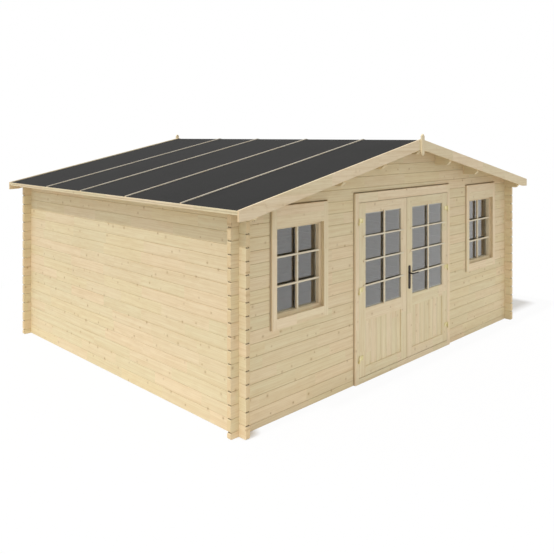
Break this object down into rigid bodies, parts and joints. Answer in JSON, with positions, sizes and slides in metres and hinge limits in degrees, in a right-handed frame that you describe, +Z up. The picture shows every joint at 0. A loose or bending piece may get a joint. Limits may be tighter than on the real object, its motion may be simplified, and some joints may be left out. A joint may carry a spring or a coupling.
{
  "type": "log cabin",
  "caption": "Garden log cabin of notched pine logs with a low felted gable roof, glazed double doors that swing outward and a small-paned window on each side.",
  "frame": {"origin": "centre of the footprint of the whole part, at ground level", "axes": "+Z up, +X to the right seen from the front, +Y from the door wall to the back wall"},
  "size_m": [5.276, 4.4576, 2.5268],
  "materials": {
    "pine_logs_side": "bare planed softwood",
    "pine_logs_cross": "bare planed softwood",
    "pine_roof_boards": "bare planed softwood",
    "pine_purlins": "bare planed softwood",
    "pine_eave_strips": "bare planed softwood",
    "pine_bargeboards": "bare planed softwood",
    "pine_battens": "bare planed softwood",
    "pine_finials": "bare planed softwood",
    "pine_casings": "bare planed softwood",
    "pine_frames": "bare planed softwood",
    "pine_sashes": "bare planed softwood",
    "pine_doors": "bare planed softwood",
    "pine_panels": "bare planed softwood",
    "pine_floor": "bare planed softwood",
    "roof_felt": "matt mineral felt",
    "window_glass": "clear",
    "door_glass": "clear",
    "hinge_brass": "satin",
    "handle_metal": "dark satin paint"
  },
  "bodies": {
    "cabin": {"left_wall": "pine_logs_side", "right_wall": "pine_logs_side", "back_wall": "pine_logs_cross", "front_wall_left": "pine_logs_cross", "front_wall_right": "pine_logs_cross", "front_gable": "pine_logs_cross", "roof_boards_left": "pine_roof_boards", "roof_boards_right": "pine_roof_boards", "ridge_purlin": "pine_purlins", "side_purlins": "pine_purlins", "eave_strip_left": "pine_eave_strips", "eave_strip_right": "pine_eave_strips", "bargeboards_front": "pine_bargeboards", "bargeboards_back": "pine_bargeboards", "felt_battens_left": "pine_battens", "felt_battens_right": "pine_battens", "finial_front": "pine_finials", "finial_back": "pine_finials", "window_left_casing": "pine_casings", "window_right_casing": "pine_casings", "door_casing": "pine_casings", "window_left_frame": "pine_frames", "window_right_frame": "pine_frames", "door_frame": "pine_frames", "window_left_sash": "pine_sashes", "window_right_sash": "pine_sashes", "door_sill": "pine_floor", "floor_boards": "pine_floor", "floor_bearers": "pine_floor", "roof_felt_left": "roof_felt", "roof_felt_right": "roof_felt", "window_left_glass": "window_glass", "window_right_glass": "window_glass", "left_hinge_pins": "hinge_brass", "right_hinge_pins": "hinge_brass"},
    "left_door": {"left_leaf_frame": "pine_doors", "left_leaf_panel": "pine_panels", "left_leaf_glass": "door_glass", "left_hinge_straps": "hinge_brass"},
    "right_door": {"right_leaf_frame": "pine_doors", "right_leaf_panel": "pine_panels", "right_leaf_glass": "door_glass", "right_hinge_straps": "hinge_brass", "handle_plates": "handle_metal"},
    "lever": {"door_lever": "handle_metal"}
  },
  "joints": [
    {"name": "left_door_hinge", "type": "hinge", "parent": "cabin", "child": "left_door", "pos_m": [-0.857, -2.0271, 0.95], "axis": [0, 0, -1], "range_deg": [0, 110]},
    {"name": "right_door_hinge", "type": "hinge", "parent": "cabin", "child": "right_door", "pos_m": [0.857, -2.0271, 0.95], "axis": [0, 0, 1], "range_deg": [0, 110]},
    {"name": "lever_turn", "type": "hinge", "parent": "right_door", "child": "lever", "pos_m": [0.048, -1.9975, 0.988], "axis": [0, 1, 0], "range_deg": [0, 45], "stiffness_Nm_per_rad": 2, "springref_deg": -17.19}
  ]
}
